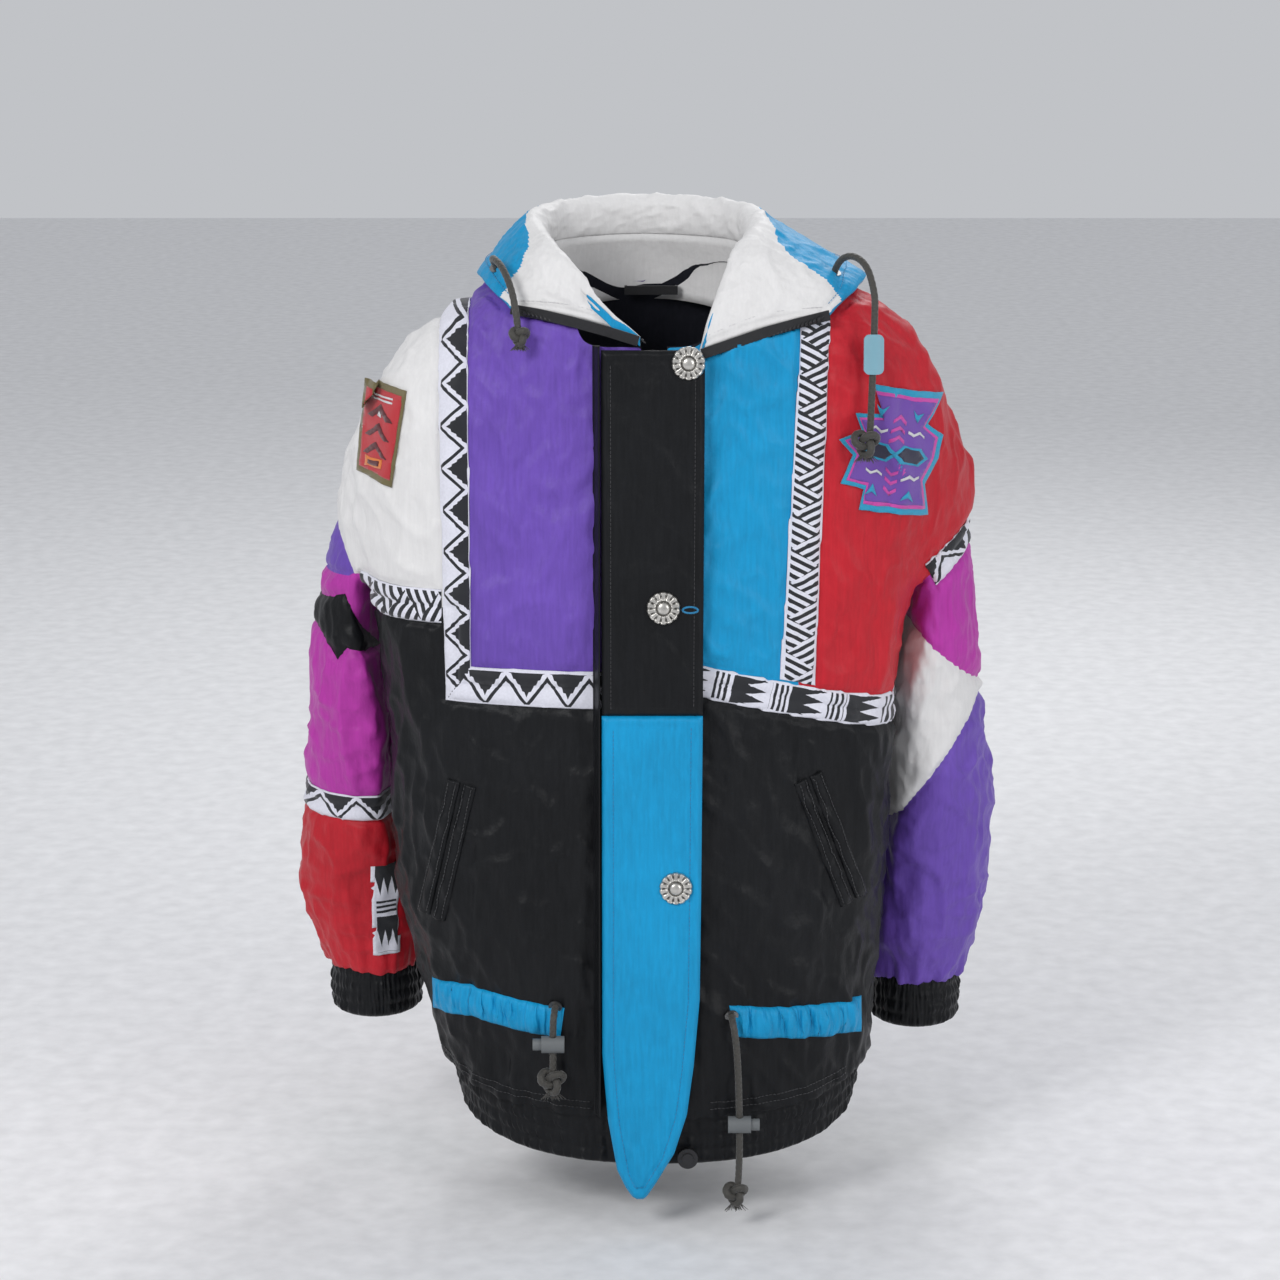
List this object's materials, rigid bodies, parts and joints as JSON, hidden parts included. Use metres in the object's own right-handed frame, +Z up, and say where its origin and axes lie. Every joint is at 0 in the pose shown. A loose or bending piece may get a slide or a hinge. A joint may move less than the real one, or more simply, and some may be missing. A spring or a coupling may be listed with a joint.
{
  "type": "ski jacket",
  "caption": "Padded ski jacket with colour-block shell panels, turned-down zip collar, buttoned storm flap, drawcords with locks, elastic cuffs and hem.",
  "frame": {"origin": "centre of the neck opening at shoulder height, where a neck or a hanger carries the jacket", "axes": "+Z up, the jacket front faces -Y, +X towards the wearer's left arm"},
  "size_m": [0.6404, 0.3219, 0.8655],
  "materials": {
    "nylon_purple": "crinkled nylon",
    "nylon_turquoise": "crinkled nylon",
    "nylon_white": "crinkled nylon",
    "nylon_red": "crinkled nylon",
    "nylon_black": "crinkled nylon",
    "nylon_magenta": "crinkled nylon",
    "wadding": "loose polyester fibre",
    "lining_fabric": "smooth taffeta",
    "woven_tape": "woven jacquard in black and white",
    "patch_red": "embroidered applique",
    "patch_purple": "embroidered applique",
    "zip_plastic": "moulded, satin",
    "zip_tape": "woven tape",
    "slider_metal": "black enamel",
    "antique_metal": "antiqued silver",
    "black_snap": "satin",
    "cord": "braided",
    "eyelet_metal": "satin",
    "toggle_blue": "translucent",
    "lock_plastic": "moulded"
  },
  "bodies": {
    "jacket_body": {"back_panel": "nylon_black", "back_yoke": "nylon_purple", "body_lining": "lining_fabric", "chest_panel_left": "nylon_turquoise", "chest_panel_right": "nylon_purple", "collar_cord_left": "cord", "collar_cord_right": "cord", "collar_lining": "nylon_white", "collar_padding": "wadding", "collar_shell": "nylon_turquoise", "cord_knots": "cord", "eyelets": "eyelet_metal", "hanger_loop": "zip_tape", "hem_band": "nylon_black", "hem_button": "black_snap", "lower_front_left": "nylon_black", "lower_front_right": "nylon_black", "patch_left": "patch_purple", "patch_right": "patch_red", "pocket_bags": "lining_fabric", "pocket_welts": "nylon_black", "shoulder_panel_left": "nylon_red", "shoulder_panel_right": "nylon_white", "tape_chest_left": "woven_tape", "tape_chest_right": "woven_tape", "tape_waist_left": "woven_tape", "tape_waist_right": "woven_tape", "under_placket": "nylon_black", "wadding_back": "wadding", "wadding_front": "wadding", "waist_casings": "nylon_turquoise", "waist_cord_left": "cord", "waist_cord_right": "cord", "zip_tapes": "zip_tape", "zip_teeth": "zip_plastic"},
    "storm_flap": {"storm_flap_upper": "nylon_black", "storm_flap_lower": "nylon_turquoise", "buttons": "antique_metal"},
    "zip_slider": {"zip_slider": "slider_metal"},
    "zip_pull": {"zip_pull": "slider_metal"},
    "collar_toggle": {"collar_toggle": "toggle_blue"},
    "waist_lock_right": {"waist_lock_right": "lock_plastic"},
    "waist_lock_left": {"waist_lock_left": "lock_plastic"},
    "waist_plunger_right": {"waist_plunger_right": "lock_plastic"},
    "waist_plunger_left": {"waist_plunger_left": "lock_plastic"},
    "right_sleeve": {"cuff_right": "nylon_black", "sleeve_right_inset": "nylon_black", "sleeve_right_lining": "lining_fabric", "sleeve_right_lower": "nylon_red", "sleeve_right_middle": "nylon_magenta", "sleeve_right_tape": "woven_tape", "sleeve_right_upper": "nylon_purple", "sleeve_right_wadding": "wadding"},
    "left_sleeve": {"cuff_left": "nylon_black", "sleeve_left_lining": "lining_fabric", "sleeve_left_lower": "nylon_purple", "sleeve_left_middle": "nylon_white", "sleeve_left_upper": "nylon_magenta", "sleeve_left_wadding": "wadding"}
  },
  "joints": [
    {"name": "storm_flap_hinge", "type": "hinge", "parent": "jacket_body", "child": "storm_flap", "pos_m": [-0.033, -0.14509, -0.29831], "axis": [0, -0.0744, -0.9972], "range_deg": [0, 110]},
    {"name": "zip_slide", "type": "slide", "parent": "jacket_body", "child": "zip_slider", "axis": [0, -0.0744, -0.9972], "range_m": [0, 0.66]},
    {"name": "zip_pull_hinge", "type": "hinge", "parent": "zip_slider", "child": "zip_pull", "pos_m": [0.012, -0.11897, -0.04104], "axis": [-1, 0, 0], "range_deg": [0, 6]},
    {"name": "collar_toggle_slide", "type": "slide", "parent": "jacket_body", "child": "collar_toggle", "axis": [-0.0374, -0.1216, -0.9919], "range_m": [-0.01, 0.024]},
    {"name": "waist_lock_right_slide", "type": "slide", "parent": "jacket_body", "child": "waist_lock_right", "axis": [0, -0.0227, -0.9997], "range_m": [-0.003, 0.006]},
    {"name": "waist_lock_left_slide", "type": "slide", "parent": "jacket_body", "child": "waist_lock_left", "axis": [0.0235, -0.0059, -0.9997], "range_m": [-0.028, 0.012]},
    {"name": "waist_plunger_right_press", "type": "slide", "parent": "waist_lock_right", "child": "waist_plunger_right", "axis": [1, 0, 0], "range_m": [0, 0.003], "stiffness_N_per_m": 800},
    {"name": "waist_plunger_left_press", "type": "slide", "parent": "waist_lock_left", "child": "waist_plunger_left", "axis": [-1, 0, 0], "range_m": [0, 0.003], "stiffness_N_per_m": 800},
    {"name": "right_sleeve_swing", "type": "hinge", "parent": "jacket_body", "child": "right_sleeve", "pos_m": [-0.188, 0.03, -0.095], "axis": [0, 1, 0], "range_deg": [0, 35]},
    {"name": "left_sleeve_swing", "type": "hinge", "parent": "jacket_body", "child": "left_sleeve", "pos_m": [0.206, 0.03, -0.095], "axis": [0, -1, 0], "range_deg": [0, 35]}
  ]
}
